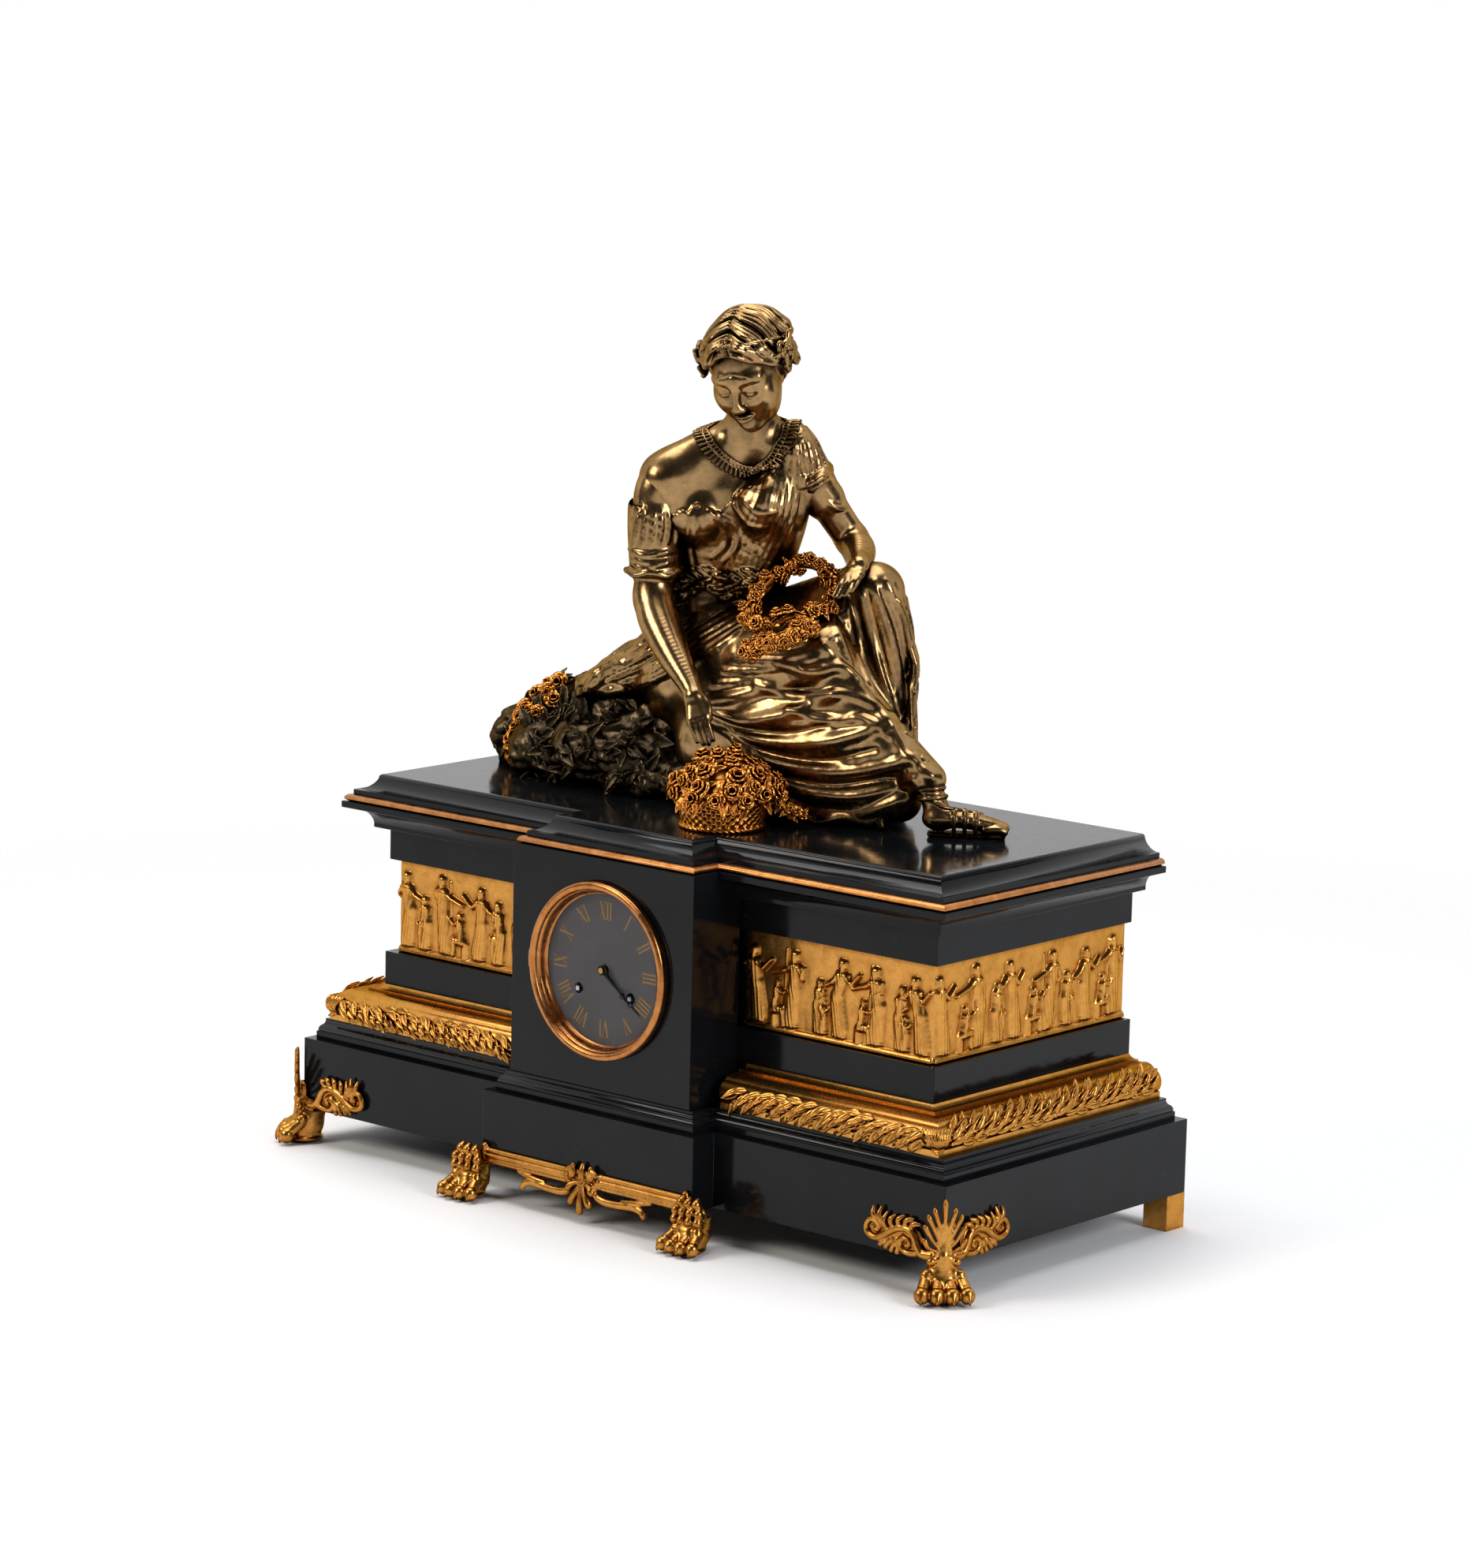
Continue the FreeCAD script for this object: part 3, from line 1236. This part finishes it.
def cast_limb(rows_in_shares, sides=limb_sides, side_axis=BACKWARD):
    places = []
    for x_share, y_share, z_share, wide_share, tall_share in rows_in_shares:
        places.append((cast_point(x_share, y_share, z_share), figure_height * wide_share,
                       figure_height * tall_share))
    return limb(places, sides, side_axis)


shoulder_line_shares = (0.24, 0.207, 0.057)
torso_shares = [(-0.177, 0.027, 0.15, 0.12, 0.1), (-0.172, 0.027, 0.26, 0.13, 0.115),
                (-0.15, 0.022, 0.42, 0.088, 0.074), (-0.11, 0.005, 0.54, 0.112, 0.09),
                (-0.06, -0.018, 0.65, 0.14, 0.084), (-0.04, -0.025, 0.715, 0.105, 0.06),
                (-0.028, -0.036, 0.745, 0.045, 0.045), (-0.004, -0.056, 0.8, 0.035, 0.037)]
head_shares = [(0.005, -0.03, 0.745, 0.04, 0.044), (0.012, -0.05, 0.79, 0.078, 0.088),
               (0.022, -0.082, 0.859, 0.1, 0.112), (0.03, -0.11, 0.92, 0.1, 0.11),
               (0.036, -0.13, 0.967, 0.074, 0.08), (0.04, -0.14, 0.992, 0.034, 0.038)]
right_arm_shares = [(-0.11, -0.086, 0.7, 0.046, 0.044), (-0.155, -0.122, 0.655, 0.056, 0.054),
                    (-0.166, -0.132, 0.58, 0.056, 0.055),
                    (-0.166, -0.132, 0.48, 0.052, 0.05), (-0.145, -0.13, 0.425, 0.042, 0.042),
                    (-0.06, -0.166, 0.33, 0.034, 0.033), (0.008, -0.196, 0.251, 0.024, 0.02),
                    (0.042, -0.22, 0.195, 0.026, 0.014)]
left_arm_shares = [(0.01, 0.02, 0.715, 0.045, 0.045), (0.075, 0.085, 0.675, 0.056, 0.054),
                   (0.096, 0.16, 0.56, 0.044, 0.044), (0.115, 0.158, 0.522, 0.038, 0.036),
                   (0.165, 0.1, 0.5, 0.03, 0.028), (0.21, 0.05, 0.487, 0.028, 0.016)]
right_thigh_shares = [(-0.2, -0.03, 0.25, 0.1, 0.1), (0.02, -0.04, 0.3, 0.085, 0.085),
                      (0.2, -0.035, 0.318, 0.058, 0.058)]
left_thigh_shares = [(-0.19, 0.11, 0.26, 0.09, 0.09), (0.05, 0.12, 0.36, 0.08, 0.08),
                     (0.215, 0.115, 0.42, 0.055, 0.055)]
right_shin_shares = [(0.16, -0.035, 0.335, 0.056, 0.058), (0.33, -0.025, 0.22, 0.054, 0.055),
                     (0.47, -0.012, 0.1, 0.05, 0.045)]
left_shin_shares = [(0.2, 0.115, 0.43, 0.056, 0.058), (0.27, 0.12, 0.25, 0.058, 0.056),
                    (0.33, 0.123, -0.02, 0.075, 0.07)]
robe_shares = [(0.12, 0.025, -0.02, 0.21, 0.125), (0.1, 0.03, 0.15, 0.165, 0.115),
               (0.07, 0.035, 0.3, 0.12, 0.1)]
foot_shares = [(0.455, -0.026, 0.05, 0.03, 0.052), (0.53, 0.03, 0.03, 0.032, 0.034),
               (0.59, 0.075, 0.015, 0.03, 0.02)]
rock_outline_shares = [(-0.72, 0.07), (-0.65, -0.04), (-0.53, -0.135), (-0.41, -0.13), (-0.29, -0.115),
                       (-0.18, -0.08), (-0.13, 0.03), (-0.19, 0.14), (-0.36, 0.17), (-0.55, 0.16)]
rock_level_shares = [(0, 1.0, 0), (0.09, 0.9, 0.01), (0.17, 0.72, 0.04), (0.235, 0.46, 0.08)]
rock_middle_shares = (-0.42, 0.02)
wreath_middle_shares = (0.055, 0.027, 0.422)
wreath_across_shares = (0.104, 0, 0.01)
wreath_up_shares = (-0.01, 0.045, 0.055)
garland_shares = [(0.065, -0.085, 0.35, 0.02, 0.022), (0.12, -0.1, 0.365, 0.03, 0.034),
                  (0.18, -0.108, 0.372, 0.033, 0.036), (0.24, -0.1, 0.362, 0.028, 0.03),
                  (0.275, -0.075, 0.345, 0.015, 0.017)]


def make_wreath():
    middle = cast_point(*wreath_middle_shares)
    across = Vector(*wreath_across_shares) * figure_height
    up = Vector(*wreath_up_shares) * figure_height
    normal = across.cross(up).normalize()
    rings = []
    for number in range(wreath_segments):
        turn = 2 * math.pi * number / wreath_segments
        centre = middle + across * math.cos(turn) + up * math.sin(turn)
        outward = (centre - middle).normalize()
        corners = []
        for corner in range(toe_sides):
            angle = 2 * math.pi * corner / toe_sides
            corners.append(centre + outward * (wreath_thickness * math.cos(angle))
                           + normal * (wreath_thickness * math.sin(angle)))
        rings.append(corners)
    return faceted(rings, True)


def make_rock():
    middle_x, middle_y = rock_middle_shares
    rings = []
    for level, spread, shift in rock_level_shares:
        corners = []
        for x_share, y_share in rock_outline_shares:
            x_place = middle_x + shift + (x_share - middle_x) * spread
            y_place = middle_y + (y_share - middle_y) * spread
            corners.append(cast_point(x_place, y_place, level))
        rings.append(corners)
    return faceted(rings)


def make_basket():
    centre = Vector(basket_side, -basket_front, slab_top)
    along = Vector(1, 0, 0)
    slope = (basket_rim_radius - basket_foot_radius) / basket_height
    outer_rows = [(centre, basket_foot_radius, basket_foot_radius),
                  (centre + UP * basket_height, basket_rim_radius, basket_rim_radius)]
    floor_radius = basket_foot_radius - basket_wall
    top_radius = basket_rim_radius + slope * overrun - basket_wall
    inner_rows = [(centre + UP * basket_foot_height, floor_radius, floor_radius),
                  (centre + UP * (basket_height + overrun), top_radius, top_radius)]
    basket = limb(outer_rows, drum_sides, along).cut(limb(inner_rows, drum_sides, along))
    heap_rows = [(centre + UP * basket_foot_height, floor_radius - flower_spread,
                  floor_radius - flower_spread),
                 (centre + UP * (basket_height + basket_wall), basket_rim_radius - basket_wall,
                  basket_rim_radius - basket_wall),
                 (centre + UP * (basket_height + 3 * basket_wall), basket_rim_radius + flower_spread / 2,
                  basket_rim_radius + flower_spread / 2),
                 (centre + UP * (basket_height + flower_heap_height * heap_level_share),
                  basket_rim_radius * heap_shoulder_share, basket_rim_radius * heap_shoulder_share),
                 (centre + UP * (basket_height + flower_heap_height), basket_rim_radius * heap_top_share,
                  basket_rim_radius * heap_top_share)]
    return basket, limb(heap_rows, drum_sides, along)


def make_figure():
    shoulder_line = Vector(*shoulder_line_shares)
    far = figure_height * 2
    below = box(-far, far, -far, far, slab_top - far, slab_top)
    torso = cast_limb(torso_shares, body_sides, shoulder_line)
    legs = [cast_limb(left_thigh_shares), cast_limb(right_shin_shares), cast_limb(left_shin_shares),
            cast_limb(robe_shares, body_sides, Vector(1, 0, 0)), cast_limb(foot_shares)]
    skirt = joined(cast_limb(right_thigh_shares), *legs).cut(torso).cut(below)
    head = cast_limb(head_shares, body_sides, shoulder_line).cut(torso)
    right_arm = cast_limb(right_arm_shares).cut(torso).cut(skirt)
    left_arm = cast_limb(left_arm_shares).cut(torso).cut(skirt).cut(head)
    garland = cast_limb(garland_shares, toe_sides).cut(skirt).cut(right_arm)
    wreath = make_wreath().cut(torso).cut(skirt).cut(left_arm).cut(right_arm).cut(garland)
    basket, flowers = make_basket()
    basket = basket.cut(skirt).cut(right_arm)
    flowers = flowers.cut(basket).cut(skirt).cut(right_arm)
    save("figure_torso", torso)
    save("figure_skirt", skirt)
    save("figure_head", head)
    save("right_arm", right_arm)
    save("left_arm", left_arm)
    save("garlands", wreath, garland)
    save("basket", basket)
    save("basket_flowers", flowers)
    save("rock_mound", make_rock().cut(torso).cut(skirt).cut(right_arm))


centre_paw = make_centre_paw()
make_plinth()
make_plinth_moulding()
make_wings()
make_dial_block()
make_back_panel()
make_cornice()
make_gilt_fillet()
make_top_slab()
make_torus()
make_friezes()
make_corner_feet()
save("centre_feet", centre_paw, mirrored(centre_paw))
make_rear_feet()
make_apron()
make_bezel()
make_dial()
make_plates()
make_pillars()
make_barrel("going_barrel", going_spot, barrel_phase)
make_barrel("strike_barrel", strike_spot, barrel_phase)
make_winding_arbor("going_winding_arbor", going_spot)
make_winding_arbor("strike_winding_arbor", strike_spot)
make_going_train()
make_pallets()
make_motion_work()
make_strike_train()
make_hammer_and_bell()
make_pendulum()
make_back()
make_hinge_pins()
make_figure()
